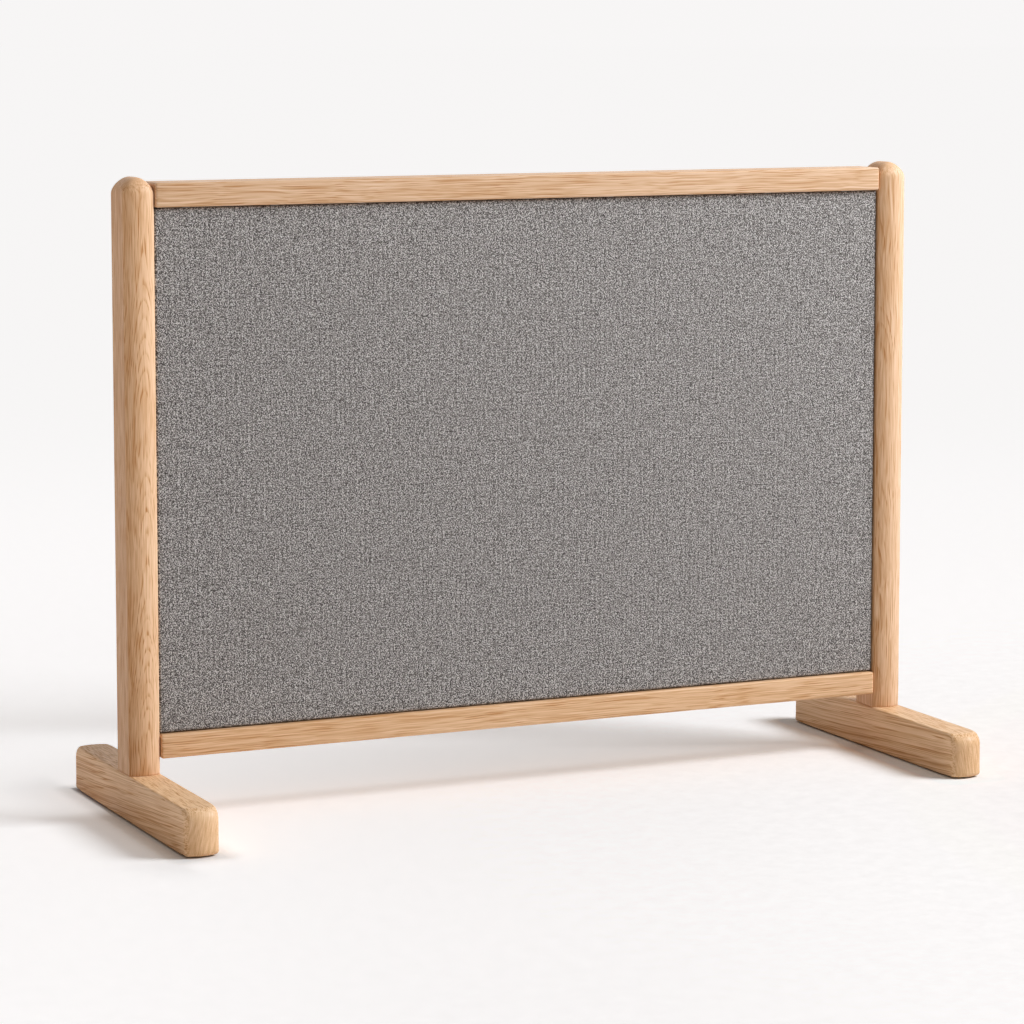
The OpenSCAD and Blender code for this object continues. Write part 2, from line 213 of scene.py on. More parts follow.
def oak(name, node, along, across, seed, base, pith=0.09, beside=0.0, tilt=0.010, ring=0.0022,
        wander=1.0, layers=0.3, lines=1.0, streaks=1.0, broads=1.0, gloss=0.42, ends=1.8,
        painted_light_slope=(0.0, 0.0, 0.0), short=1.0, swerve=1.0):
    """Solid oak, cut from one board: the same growth rings show on every face of the bar.
    along is the grain's direction, and across the one in which ring follows ring. pith says how far
    behind the bar's middle the rings' centre is, beside how far to its side. layers is the share
    of streaks that lie in sheets with the rings, the rest run as fine cords; end grain shows only
    sheets, stronger by ends. painted_light_slope is painted light and shade: how fast the board's colour
    pales along each axis, per metre, standing in for how the light falls across the piece. short makes the
    streaks shorter, and swerve makes the grain less straight."""
    t = Tree(name)
    lo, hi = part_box(node)
    co = t.scaled(t.coords(), (1, 1, 1), tuple(-(p + q) / 2 for p, q in zip(lo, hi)))
    third = Vector(along).cross(Vector(across))
    a = t.dot(co, across)
    b = t.dot(co, along)
    c = t.dot(co, tuple(third))
    p = t.xyz(a, b, c)
    s = float(seed)
    # the rings' wander: slow hills that make the pointed arches, then livelier ones, then kinks
    hills = t.wave(p, (6.0, 5.0, 6.0), (s, s * 1.7, 3.1))
    lively = t.wave(p, (24.0, 9.0, 24.0), (s * 3.1, 4.4, s), 1.0)
    kinks = t.wave(p, (70.0, 16.0, 70.0), (s, 7.7, s * 5.1))
    cc = t.add(c, beside)
    r = t.add(
        a,
        t.math("DIVIDE", t.mul(cc, cc), 2 * pith),
        t.mul(b, tilt),
        t.mul(hills, 0.014 * wander),
        t.mul(lively, 0.0045 * wander),
        t.mul(kinks, 0.0009),
    )
    k = t.add(t.math("DIVIDE", r, ring), t.mul(t.wave(p, (4.0, 2.0, 4.0), (2.0, s, 1.0)), 2.0))
    f = t.math("FRACT", k)
    width = t.cell(t.add(t.math("FLOOR", k), s))
    line = t.mul(t.smooth(f, 0.0, 0.08), t.sub(1.0, t.smooth(f, 0.12, 0.46)))
    fade = t.smooth(t.noise(t.scaled(p, (60.0, 11.0, 60.0), (s, 3.0, 2.0))), 0.33, 0.66, 0.25, 1.0)
    line = t.mul(t.mul(line, fade), t.span(width, 0.0, 1.0, 0.35, 1.0))
    # streaks follow the grain, which swerves a little
    sway = t.wave(p, (13.0, 13.0, 13.0), (9.0, s, 6.0), 1.0)
    sway2 = t.wave(p, (14.0, 12.0, 14.0), (s, 9.0, 1.0), 1.0)
    q = t.xyz(t.add(a, t.mul(sway, 0.011 * swerve)), b, t.add(c, t.mul(sway2, 0.011 * swerve)))
    turn = t.dot(t.node("ShaderNodeNewGeometry").outputs["Normal"], along)
    end = t.smooth(t.math("ABSOLUTE", turn), 0.55, 0.90)
    cords = t.wave(q, (610.0, 20.0 * short, 610.0), (s, 6.0, 8.0), 1.0, 0.5)
    sheets = t.wave(q, (500.0, 15.0 * short, 44.0), (4.0, s, 8.0), 1.0, 0.5)
    cords = t.mul(cords, t.sub(1.0, end))
    # long thin dark lines among them
    hair = t.noise(t.scaled(q, (520.0, 7.0 * short, 520.0), (s, 8.0, 4.0)), 0.0)
    hair = t.mul(t.smooth(hair, 0.54, 0.66), t.sub(1.0, end))
    sheets = t.mul(sheets, t.add(1.0, t.mul(end, ends - 1.0)))
    broad = t.wave(q, (105.0, 6.5, 105.0), (2.0, 3.0, s), 1.0)
    broad_sheets = t.wave(q, (110.0, 5.0, 12.0), (2.0, s, 3.0), 1.0)
    # a ring's dark line is a row of open pores, cut lengthwise into short dashes
    dash = t.noise(t.scaled(q, (680.0, 34.0 * short, 680.0), (s, 1.0, 2.0)), 0.0)
    pores = t.mul(t.mul(t.smooth(dash, 0.52, 0.68), t.add(0.35, line)), t.sub(1.0, t.mul(end, 0.8)))
    line = t.mul(line, t.smooth(dash, 0.36, 0.62, 0.30, 1.45))
    patch = t.wave(p, (18.0, 3.5, 18.0), (s, 5.0, 1.0), 1.0)
    fine = t.add(t.mul(cords, 1.0 - layers), t.mul(sheets, layers))
    wide = t.add(t.mul(broad, 1.0 - layers), t.mul(broad_sheets, layers))
    v = t.add(
        0.605,
        t.mul(line, -0.32 * lines),
        t.mul(fine, 1.20 * streaks),
        t.mul(wide, 0.36 * broads),
        t.mul(pores, -0.38 * streaks),
        t.mul(end, -0.09),
        t.mul(hair, -0.17 * streaks),
        t.mul(patch, 0.22 * broads),
        # painted light and shade: the colour pales along the piece as the light falls on it
        t.dot(co, painted_light_slope),
    )
    col = t.ramp(v, [(pos, tuple(min(x * y, 0.98) for x, y in zip(base, sh))) for pos, sh in OAK_SHADES])
    t.link(col, t.bsdf.inputs["Base Color"])
    rough = t.add(gloss, t.mul(pores, 0.25), t.mul(fine, 0.15))
    t.link(rough, t.bsdf.inputs["Roughness"])
    height = t.add(t.mul(pores, -1.0), t.mul(line, -0.25), t.mul(fine, 0.7))
    t.link(t.bump(height, 0.00012, 0.6), t.bsdf.inputs["Normal"])
    t.bsdf.inputs["IOR"].default_value = 1.32
    return t.mat


def wool(name, seed):
    """Coarse melange wool weave: crossing yarns of mixed light and dark fibres, with slubs."""
    t = Tree(name)
    co = t.coords()
    s = float(seed)
    pitch = 0.0023
    # each yarn wavers a little
    wu = t.wave(co, (210.0, 120.0, 150.0), (s, 1.0, 2.0), 1.0)
    wv = t.wave(co, (150.0, 120.0, 210.0), (2.0, s, 7.0), 1.0)
    u = t.add(t.math("DIVIDE", t.dot(co, (1, 0, 0)), pitch), t.mul(wu, 2.4))
    v = t.add(t.math("DIVIDE", t.dot(co, (0, 0, 1)), pitch), t.mul(wv, 2.4))
    m = t.mul(t.math("SINE", t.mul(u, math.pi)), t.math("SINE", t.mul(v, math.pi)))
    # a yarn changes its shade along its length
    slub_u = t.wave(co, (320.0, 60.0, 46.0), (1.0, s, 4.0), 0.0)
    slub_v = t.wave(co, (46.0, 60.0, 320.0), (5.0, s, 9.0), 0.0)
    # thicker yarns stand out as columns, and less so as rows, here more and there less
    columns = t.math("SINE", t.add(t.mul(t.dot(co, (1, 0, 0)), 2 * math.pi / 0.0072), t.mul(wu, 3.0)))
    rows = t.math("SINE", t.add(t.mul(t.dot(co, (0, 0, 1)), 2 * math.pi / 0.0061), t.mul(wv, 3.0)))
    columns = t.mul(columns, t.smooth(t.noise(t.scaled(co, (34.0, 20.0, 16.0), (s, 2.0, 7.0))), 0.35, 0.68, 0.15, 1.0))
    rows = t.mul(rows, t.smooth(t.noise(t.scaled(co, (16.0, 20.0, 34.0), (7.0, s, 1.0))), 0.38, 0.68, 0.15, 1.0))
    # curled fibres, from coarse to fine
    cloud = t.wave(co, (70.0, 60.0, 70.0), (2.0, 6.0, s), 1.0)
    tuft = t.wave(co, (180.0, 140.0, 180.0), (6.0, s, 3.0), 0.0)
    curl = t.wave(co, (330.0, 250.0, 330.0), (8.0, 2.0, s), 0.0)
    grain = t.wave(co, (520.0, 300.0, 520.0), (3.0, s, 8.0), 0.0)
    fine = t.wave(co, (860.0, 400.0, 860.0), (s, 4.0, 1.0), 0.0)
    k = t.add(
        0.485,
        t.mul(slub_u, 0.22),
        t.mul(slub_v, 0.16),
        t.mul(columns, 0.064),
        t.mul(rows, 0.040),
        t.mul(cloud, 0.13),
        t.mul(tuft, 0.33),
        t.mul(curl, 0.50),
        t.mul(grain, 1.42),
        t.mul(fine, 2.10),
        t.mul(m, 0.11),
    )
    col = t.ramp(
        k,
        [
            (0.00, (0.041, 0.034, 0.031)),
            (0.26, (0.112, 0.100, 0.093)),
            (0.50, (0.232, 0.213, 0.199)),
            (0.74, (0.416, 0.388, 0.369)),
            (1.00, (0.655, 0.620, 0.596)),
        ],
    )
    t.link(col, t.bsdf.inputs["Base Color"])
    t.bsdf.inputs["Roughness"].default_value = 0.92
    t.bsdf.inputs["Sheen Weight"].default_value = 0.10
    t.bsdf.inputs["Sheen Roughness"].default_value = 0.5
    t.bsdf.inputs["Specular IOR Level"].default_value = 0.2
    height = t.add(t.mul(t.math("ABSOLUTE", m), 0.35), t.mul(k, 0.9))
    t.link(t.bump(height, 0.0006, 0.5), t.bsdf.inputs["Normal"])
    return t.mat


def rubber():
    t = Tree("pad_rubber")
    co = t.coords()
    n = t.noise(t.scaled(co, (900.0, 900.0, 900.0)), 2.0, 0.6)
    t.link(t.ramp(n, [(0.3, (0.010, 0.010, 0.010)), (0.7, (0.022, 0.021, 0.020))]), t.bsdf.inputs["Base Color"])
    t.link(t.span(n, 0.3, 0.7, 0.75, 0.9), t.bsdf.inputs["Roughness"])
    t.link(t.bump(n, 0.0002, 0.5), t.bsdf.inputs["Normal"])
    return t.mat


def pale_wood(name, along, light, dark, seed):
    """Plain inner timber: softwood or beech, with straight grain."""
    t = Tree(name)
    co = t.coords()
    stretch = tuple(12.0 if abs(x) > 0.5 else 420.0 for x in along)
    n = t.noise(t.scaled(co, stretch, (seed, 1.0, 2.0)), 3.0, 0.6)
    band = t.noise(t.scaled(co, tuple(v * 0.25 for v in stretch), (2.0, seed, 5.0)), 1.0)
    k = t.add(t.mul(n, 0.6), t.mul(band, 0.4))
    t.link(t.ramp(k, [(0.35, dark), (0.6, light)]), t.bsdf.inputs["Base Color"])
    t.link(t.span(k, 0.3, 0.7, 0.7, 0.55), t.bsdf.inputs["Roughness"])
    t.link(t.bump(n, 0.00015, 0.5), t.bsdf.inputs["Normal"])
    return t.mat


def speckled(name, dark, light, scale, rough, stretch=(1.0, 1.0, 1.0)):
    """Pressed fibres: fibreboard or felt."""
    t = Tree(name)
    co = t.coords()
    n = t.noise(t.scaled(co, tuple(scale * x for x in stretch)), 4.0, 0.7, 0.4)
    big = t.noise(t.scaled(co, (25.0, 25.0, 25.0)), 1.0)
    k = t.add(t.mul(n, 0.8), t.mul(big, 0.2))
    t.link(t.ramp(k, [(0.35, dark), (0.65, light)]), t.bsdf.inputs["Base Color"])
    t.bsdf.inputs["Roughness"].default_value = rough
    t.link(t.bump(n, 0.0004, 0.6), t.bsdf.inputs["Normal"])
    return t.mat


def zinc():
    t = Tree("zinc_steel")
    co = t.coords()
    n = t.noise(t.scaled(co, (600.0, 600.0, 600.0)), 3.0, 0.6)
    big = t.noise(t.scaled(co, (90.0, 90.0, 90.0), (4.0, 1.0, 1.0)), 1.0)
    t.link(t.ramp(big, [(0.35, (0.50, 0.51, 0.53)), (0.65, (0.62, 0.63, 0.64))]), t.bsdf.inputs["Base Color"])
    t.bsdf.inputs["Metallic"].default_value = 1.0
    t.link(t.span(n, 0.3, 0.7, 0.28, 0.45), t.bsdf.inputs["Roughness"])
    t.link(t.bump(n, 0.00005, 0.4), t.bsdf.inputs["Normal"])
    return t.mat


# ---------------------------------------------------------------- mesh helpers


def skin(rings, cap_first=True, cap_last=True):
    """Faces over equal rings of points that run anticlockwise round the stacking direction."""
    n = len(rings[0])
    verts = [tuple(p) for ring in rings for p in ring]
    faces = []
    for k in range(len(rings) - 1):
        a, b = k * n, (k + 1) * n
        for i in range(n):
            j = (i + 1) % n
            faces.append((a + i, a + j, b + j, b + i))
    if cap_first:
        faces.append(tuple(reversed(range(n))))
    if cap_last:
        faces.append(tuple(range((len(rings) - 1) * n, len(rings) * n)))
    return verts, faces


def piece(name, verts, faces, material):
    me = bpy.data.meshes.new(name)
    me.from_pydata([tuple(map(float, v)) for v in verts], [], faces)
    me.validate()
    me.update()
    me.polygons.foreach_set("use_smooth", [True] * len(me.polygons))
    me.materials.append(material)
    ob = bpy.data.objects.new(name, me)
    bpy.context.scene.collection.objects.link(ob)
    return ob


def round_cut(a, b, r):
    """Distance field of the intersection of two fields, its edge rounded with radius r."""
    u = np.maximum(a + r, 0.0)
    v = np.maximum(b + r, 0.0)
    return np.minimum(np.maximum(a, b), -r) + np.hypot(u, v)


def settle(points, field, steps=14):
    """Moves points onto the surface where field is zero."""
    p = np.array(points, float)
    h = 1e-6
    for _ in range(steps):
        d = field(p)
        g = np.zeros_like(p)
        for ax in range(p.shape[1]):
            q = p.copy()
            q[:, ax] += h
            g[:, ax] = (field(q) - d) / h
        g2 = np.maximum((g * g).sum(1), 0.05)
        p -= (d / g2)[:, None] * g * 0.9
    return p


def smoothstep(x, lo, hi):
    t = np.clip((x - lo) / (hi - lo), 0.0, 1.0)
    return t * t * (3 - 2 * t)


# ---------------------------------------------------------------- posts

post_lo, post_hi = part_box("left_post")
post_cy = (post_lo.y + post_hi.y) / 2
post_hw = (post_hi.x - post_lo.x) / 2
post_hd = (post_hi.y - post_lo.y) / 2
POST_BOW = 0.008
POST_R = (post_hw**2 + POST_BOW**2) / (2 * POST_BOW)
POST_EDGE = 0.0014
DOME = 0.0232


def post_outline(edge):
    """Plan of a post: flat sides, bowed front and back, edges of this radius between them."""
    hw, flat = post_hw, post_hd - POST_BOW

    def field(p):
        side = np.abs(p[:, 0]) - hw
        bow = np.hypot(p[:, 0], np.abs(p[:, 1]) + POST_R - post_hd) - POST_R
        return round_cut(side, bow, edge)

    def arc_point(x):
        return math.sqrt(POST_R**2 - x * x) - (POST_R - post_hd)

    quarter = [(hw, y) for y in np.linspace(0.0, flat - 0.011, 4)]
    quarter += [(hw, flat - y * MM) for y in (8.2, 5.8, 4.2, 3.0, 2.1, 1.45, 1.0, 0.6, 0.2)]
    quarter += [(x, arc_point(x)) for x in hw - np.array([0.25, 0.6, 1.0, 1.5, 2.2, 3.2, 4.8, 6.8, 9.2]) * MM]
    quarter += [(x, arc_point(x)) for x in np.linspace(hw - 0.0118, 0.0, 6)]
    q = np.array(quarter)
    pts = np.vstack([
        q,
        np.array([(-x, y) for x, y in q[::-1][1:]]),
        np.array([(-x, -y) for x, y in q[1:]]),
        np.array([(x, -y) for x, y in q[::-1][1:-1]]),
    ])
    return settle(pts, field)


def make_post(name, node, material):
    lo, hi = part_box(node)
    cx, cy = (lo.x + hi.x) / 2, (lo.y + hi.y) / 2
    out = post_outline(POST_EDGE)
    rings = []

    def ring(z, scale, plan=out, deep=None):
        p = plan * np.array([scale, scale if deep is None else deep])
        rings.append(np.column_stack([p[:, 0] + cx, p[:, 1] + cy, np.full(len(p), z)]))

    z0, z1 = lo.z, hi.z - DOME
    ring(z0, 0.90)
    ring(z0, 0.968)
    ring(z0 + 0.00025, 0.985)
    ring(z0 + 0.0008, 0.998)
    ring(z0 + 0.0014, 1.0)
    for z in np.linspace(z0 + 0.02, z1 - 0.002, 14):
        ring(z, 1.0)
    # the top: every side draws in on a quarter round, its corners soften on the way up, and the two
    # long sides meet in a short crest
    for deg in (0, 4, 9, 14, 20, 26, 32, 38, 44, 50, 56, 62, 67, 72, 77, 81, 85, 88, 89.6):
        th = math.radians(deg)
        soft = float(smoothstep(th, 0.0, math.radians(60)))
        deep = 1.0 - post_hw * (1.0 - math.cos(th)) / post_hd
        ring(z1 + DOME * math.sin(th), math.cos(th), post_outline(POST_EDGE + 0.0085 * soft), deep)
    verts, faces = skin(rings)
    ob = piece(name, verts, faces, material)
    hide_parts(node)
    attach(ob, "root")
    return ob


# ---------------------------------------------------------------- rails


def rounded_rect(hw, hh, r, n=5):
    pts = []
    for sx, sy, a0 in ((1, 1, 0), (-1, 1, 90), (-1, -1, 180), (1, -1, 270)):
        for k in range(n + 1):
            a = math.radians(a0 + 90 * k / n)
            pts.append((sx * (hw - r) + r * math.cos(a), sy * (hh - r) + r * math.sin(a)))
    return pts


def make_rail(name, node, material, edge=0.0030, end=0.0034, gap=0.0010):
    """A rail with soft edges; its ends stop a hair short of the posts."""
    lo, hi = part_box(node)
    cy, cz = (lo.y + hi.y) / 2, (lo.z + hi.z) / 2
    hd, hh = (hi.y - lo.y) / 2, (hi.z - lo.z) / 2
    x0, x1 = lo.x + gap, hi.x - gap
    rings = []

    def ring(x, inset):
        pts = rounded_rect(hd - inset, hh - inset, max(edge - inset, 0.0005), 8)
        # anticlockwise seen from +x: y to the right, z up
        rings.append([(x, cy + y, cz + z) for y, z in pts])

    # the rings of each end's rounding, one inside it, to keep the end face flat
    steps = [(0.0, end + 0.0012)] + [(end * (1 - math.cos(t)), end * (1 - math.sin(t)))
                                     for t in np.radians([0, 15, 30, 45, 60, 75, 90])]
    for dx, inset in steps:
        ring(x0 + dx, inset)
    for x in np.linspace(x0 + 0.02, x1 - 0.02, 21):
        ring(x, 0.0)
    for dx, inset in reversed(steps):
        ring(x1 - dx, inset)
    verts, faces = skin(rings)
    ob = piece(name, verts, faces, material)
    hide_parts(node)
    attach(ob, "root")
    return ob


# ---------------------------------------------------------------- feet

FOOT_BOW = 0.008
FOOT_END_R = 0.0175
FOOT_EDGE = 0.0036
FOOT_END_EDGE = 0.0062
FOOT_LOW = 0.006
FOOT_LOW_EDGE = 0.0022


def make_foot(name, node, material):
    lo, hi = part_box(node)
    cx, cy = (lo.x + hi.x) / 2, (lo.y + hi.y) / 2
    hw, hl = (hi.x - lo.x) / 2, (hi.y - lo.y) / 2
    z0, z1 = lo.z, hi.z
    rb = (hw**2 + FOOT_BOW**2) / (2 * FOOT_BOW)

    def bow(x):
        return rb - np.sqrt(np.maximum(rb * rb - x * x, 1e-9))

    def field(p):
        x, y, z = p[:, 0], p[:, 1], p[:, 2]
        ys = np.abs(y) + bow(np.clip(x, -hw, hw))
        yt, zt = ys - (hl - FOOT_END_R), z - (z1 - FOOT_END_R)
        up = np.hypot(np.maximum(yt, 0), np.maximum(zt, 0)) + np.minimum(np.maximum(yt, zt), 0) - FOOT_END_R
        yb, zb = ys - (hl - FOOT_LOW), (z0 + FOOT_LOW) - z
        down = np.hypot(np.maximum(yb, 0), np.maximum(zb, 0)) + np.minimum(np.maximum(yb, zb), 0) - FOOT_LOW
        side = np.abs(x) - hw
        near_end = smoothstep(ys, hl - 0.032, hl - 0.010)
        low = 1 - smoothstep(z, z0 + 0.001, z0 + 0.014)
        r = FOOT_EDGE + (FOOT_END_EDGE - FOOT_EDGE) * near_end
        r = r + (FOOT_LOW_EDGE - r) * low * (1 - 0.6 * near_end)
        return round_cut(side, np.maximum(up, down), r)

    def outline(w, half):
        """Plan ring with half width w and half length half, ends bowed; starts at +x, y = 0."""
        yc = half - bow(w)
        quarter = [(w, y) for y in np.linspace(0.0, yc - 0.014, 16)]
        quarter += [(w, yc - y * MM) for y in (11.0, 8.6, 6.6, 5.0, 3.8, 2.6, 1.6, 0.7, 0.0)]
        quarter += [(x, half - bow(x)) for x in w - np.array([0.7, 1.5, 2.4, 3.5, 4.8, 6.3, 8.0]) * MM]
        quarter += [(x, half - bow(x)) for x in np.linspace(w - 0.0100, 0.0, 6)]
        q = [(float(x), float(y)) for x, y in quarter]
        return (q + [(-x, y) for x, y in q[::-1][1:]] + [(-x, -y) for x, y in q[1:]]
                + [(x, -y) for x, y in q[::-1][1:-1]])

    # underside first: flat, then the low rounding, tighter along the sides than at the ends
    rings = [[(x, y, z0) for x, y in outline(hw - 0.0042, hl - 0.0082)],
             [(x, y, z0) for x, y in outline(hw - 0.0026, hl - 0.0064)]]
    for dz in (0.00015, 0.0005, 0.0010, 0.0016, 0.0024, 0.0034, 0.0046, 0.0060):
        long_in = FOOT_LOW - math.sqrt(max(FOOT_LOW**2 - (FOOT_LOW - dz) ** 2, 0.0))
        u = max(FOOT_LOW_EDGE - dz, 0.0)
        side_in = FOOT_LOW_EDGE - math.sqrt(FOOT_LOW_EDGE**2 - u * u)
        rings.append([(x, y, z0 + dz) for x, y in outline(hw - side_in, hl - long_in)])
    for z in np.linspace(z0 + 0.010, z1 - FOOT_END_R, 7):
        rings.append([(x, y, z) for x, y in outline(hw, hl)])
    for deg in (8, 16, 24, 32, 40, 48, 55, 61, 66, 70.5, 74.5, 78, 81.5, 85, 88, 90):
        t = math.radians(deg)
        z = z1 - FOOT_END_R + FOOT_END_R * math.sin(t)
        half = hl - FOOT_END_R + FOOT_END_R * math.cos(t)
        up = max(z - (z1 - FOOT_EDGE), 0.0)
        w = hw - FOOT_EDGE + math.sqrt(max(FOOT_EDGE**2 - up * up, 0.0))
        rings.append([(x, y, z) for x, y in outline(w, half)])
    n = len(rings[0])
    pts = settle(np.array([p for ring in rings for p in ring]), field)
    rings = [pts[k * n:(k + 1) * n] for k in range(len(rings))]
    # one ring inside the top face keeps it flat
    last = rings[-1]
    inner = last.copy()
    inner[:, 0] *= 1 - 0.0016 / hw
    inner[:, 1] *= 1 - 0.0016 / hl
    rings.append(inner)
    rings = [[(x + cx, y + cy, z) for x, y, z in ring] for ring in rings]
    verts, faces = skin(rings, cap_first=False)
    ob = piece(name, verts, faces, material)
    open_bottom_with_bores(ob, n, cx, post_cy, z0, z1)
    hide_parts(node)
    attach(ob, "root")
    return ob


def open_bottom_with_bores(ob, n, cx, cy, z0, z1):
    """Closes the underside round the two counterbores, and gives them their walls."""
    import bmesh

    bm = bmesh.new()
    bm.from_mesh(ob.data)
    bm.verts.ensure_lookup_table()
    edge_loops = []
    first = [bm.verts[i] for i in range(n)]
    for i in range(n):
        edge_loops.append(bm.edges.get((first[i], first[(i + 1) % n])))
    seg = 40
    for s in (-1, 1):
        yc = cy + s * 0.016
        prev = None
        for radius, z in ((0.0110, z0), (0.0108, z0 + 0.0004), (0.0108, z0 + 0.024),
                          (0.0043, z0 + 0.024), (0.0043, z1 - 0.001)):
            ring = [bm.verts.new((cx + radius * math.cos(2 * math.pi * k / seg),
                                  yc + radius * math.sin(2 * math.pi * k / seg), z)) for k in range(seg)]
            if prev is None:
                edge_loops += [bm.edges.new((ring[k], ring[(k + 1) % seg])) for k in range(seg)]
            else:
                for k in range(seg):
                    j = (k + 1) % seg
                    bm.faces.new((prev[j], prev[k], ring[k], ring[j]))
            prev = ring
        bm.faces.new(list(reversed(prev)))
    bmesh.ops.triangle_fill(bm, use_beauty=True, use_dissolve=False, edges=edge_loops, normal=(0, 0, -1))
    for f in bm.faces:
        f.smooth = True
    for e in bm.edges:
        if len(e.link_faces) == 2 and e.calc_face_angle(0.0) > math.radians(40):
            e.smooth = False
    bmesh.ops.recalc_face_normals(bm, faces=bm.faces)
    bm.to_mesh(ob.data)
    bm.free()


# ---------------------------------------------------------------- fabric covers


def make_cover(name, node, side, material):
    """Fabric stretched over one face of the panel and folded back along its four edges."""
    lo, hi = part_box(node)
    hx = (hi.x - lo.x) / 2
    cz, hz = (lo.z + hi.z) / 2, (hi.z - lo.z) / 2
    y_face = lo.y if side < 0 else hi.y
    y_back = hi.y if side < 0 else lo.y
    thick = 0.0014
    r_out = 0.0030
    nx, nz = 120, 78

    def rim(offset, plan_r):
        """Points round the panel at an outline this far outside the flat's border, corners rounded."""
        ix, iz = hx - r_out, hz - r_out
        pts = []
        for i in range(nx):
            pts.append((-ix + 2 * ix * i / nx, -iz))
        for j in range(nz):
            pts.append((ix, -iz + 2 * iz * j / nz))
        for i in range(nx):
            pts.append((ix - 2 * ix * i / nx, iz))
        for j in range(nz):
            pts.append((-ix, iz - 2 * iz * j / nz))
        out = []
        for x, z in pts:
            ex = 1.0 if abs(abs(x) - ix) < 1e-9 else 0.0
            ez = 1.0 if abs(abs(z) - iz) < 1e-9 else 0.0
            k = offset * (0.80 if ex and ez else 1.0)
            out.append((x + math.copysign(k, x) * ex, z + math.copysign(k, z) * ez))
        return out

    ix, iz = hx - r_out, hz - r_out
    grid = [(-ix + 2 * ix * i / nx, -iz + 2 * iz * j / nz) for j in range(nz + 1) for i in range(nx + 1)]

    def gi(i, j):
        return j * (nx + 1) + i

    border = ([gi(i, 0) for i in range(nx)] + [gi(nx, j) for j in range(nz)]
              + [gi(nx - i, nz) for i in range(nx)] + [gi(0, nz - j) for j in range(nz)])
    inward = -side  # +1 for the front cover: its inside lies towards +y
    verts, faces = [], []
    # outer skin: face, rounded edge, turned-back rim, fold at the rim's end, inner skin back to the face
    for x, z in grid:
        # the cloth lies a touch fuller in the middle of the panel than along its edges
        full = 0.0004 * (1 - (x / ix) ** 4) * (1 - (z / iz) ** 4)
        verts.append((x, y_face + inward * (0.0004 - full), cz + z))
    outer = list(border)

    def quad(a, b, c, d):
        return (a, b, c, d) if side < 0 else (d, c, b, a)

    for j in range(nz):
        for i in range(nx):
            faces.append(quad(gi(i, j), gi(i + 1, j), gi(i + 1, j + 1), gi(i, j + 1)))

    def add_loop(offset, y):
        base = len(verts)
        for x, z in rim(offset, 0.0):
            verts.append((x, y, cz + z))
        return [base + k for k in range(len(border))]

    prev = outer
    profile = []
    r = r_out
    for deg in (12, 24, 36, 48, 60, 72, 84, 90):
        t = math.radians(deg)
        profile.append((r * math.sin(t), y_face + inward * (0.0004 + (r - 0.0004) * (1 - math.cos(t)))))
    profile.append((r, y_face + inward * 0.009))
    profile.append((r, y_back - inward * 0.0008))
    profile.append((r - 0.0003, y_back - inward * 0.0002))
    profile.append((r - thick / 2, y_back))
    profile.append((r - thick + 0.0003, y_back - inward * 0.0002))
    profile.append((r - thick, y_back - inward * 0.0008))
    profile.append((r - thick, y_face + inward * 0.009))
    for deg in (90, 70, 50, 30, 10):
        t = math.radians(deg)
        ri = r - thick
        profile.append((ri * math.sin(t), y_face + inward * (0.0004 + thick + ri * (1 - math.cos(t)))))
    for off, y in profile:
        cur = add_loop(off, y)
        m = len(cur)
        for k in range(m):
            l = (k + 1) % m
            faces.append(quad(prev[l], prev[k], cur[k], cur[l]))
        prev = cur
    # inner face of the cloth
    base = len(verts)
    for x, z in grid:
        full = 0.0004 * (1 - (x / ix) ** 4) * (1 - (z / iz) ** 4)
        verts.append((x, y_face + inward * (0.0004 - full + thick), cz + z))
    inner_border = [base + b for b in border]
    m = len(border)
    for k in range(m):
        l = (k + 1) % m
        faces.append(quad(prev[l], prev[k], inner_border[k], inner_border[l]))
    for j in range(nz):
        for i in range(nx):
            a, b, c, d = gi(i, j), gi(i + 1, j), gi(i + 1, j + 1), gi(i, j + 1)
            faces.append(quad(base + d, base + c, base + b, base + a))
    ob = piece(name, verts, faces, material)
    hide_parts(node)
    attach(ob, "root")
    return ob


# ---------------------------------------------------------------- the object

X, Y, Z = (1, 0, 0), (0, 1, 0), (0, 0, 1)


def turned(v, w, deg):
    """Unit vector v turned towards w by deg."""
    a = math.radians(deg)
    return tuple(math.cos(a) * p + math.sin(a) * q for p, q in zip(v, w))


# each oak's painted_light_slope is painted light and shade: its colour pales along the given axes, standing in for how
# the light falls
oak_left_post = oak("oak_left_post", "left_post", Z, turned((0, -1, 0), X, 6), 3.0,
                    (0.768, 0.472, 0.270), pith=0.013, tilt=0.060, ring=0.0019, wander=0.7, layers=0.20,
                    lines=1.15, streaks=0.80, broads=0.6, painted_light_slope=(9.5, 0.0, 0.0), swerve=0.6)
oak_right_post = oak("oak_right_post", "right_post", Z, turned((0, -1, 0), (-1, 0, 0), 40), 11.0,
                     (0.728, 0.460, 0.276), pith=0.05, tilt=-0.020, ring=0.0019, wander=0.8, layers=0.25,
                     lines=0.9, streaks=0.80, broads=0.5, painted_light_slope=(9.5, 0.0, 0.0), swerve=0.7)
oak_top_rail = oak("oak_top_rail", "top_rail", X, turned((0, -1, 0), Z, 55), 21.0,
                   (0.697, 0.450, 0.280), pith=0.11, tilt=0.006, wander=0.8, layers=0.35, streaks=1.0,
                   broads=0.7, painted_light_slope=(0.06, 0.0, 0.0), short=0.55, swerve=0.6)
oak_bottom_rail = oak("oak_bottom_rail", "bottom_rail", X, turned((0, -1, 0), Z, 60), 33.0,
                      (0.740, 0.457, 0.258), pith=0.11, tilt=-0.006, wander=0.6, layers=0.30,
                      broads=0.7, painted_light_slope=(0.10, 0.0, 0.0), short=0.55, swerve=0.5)
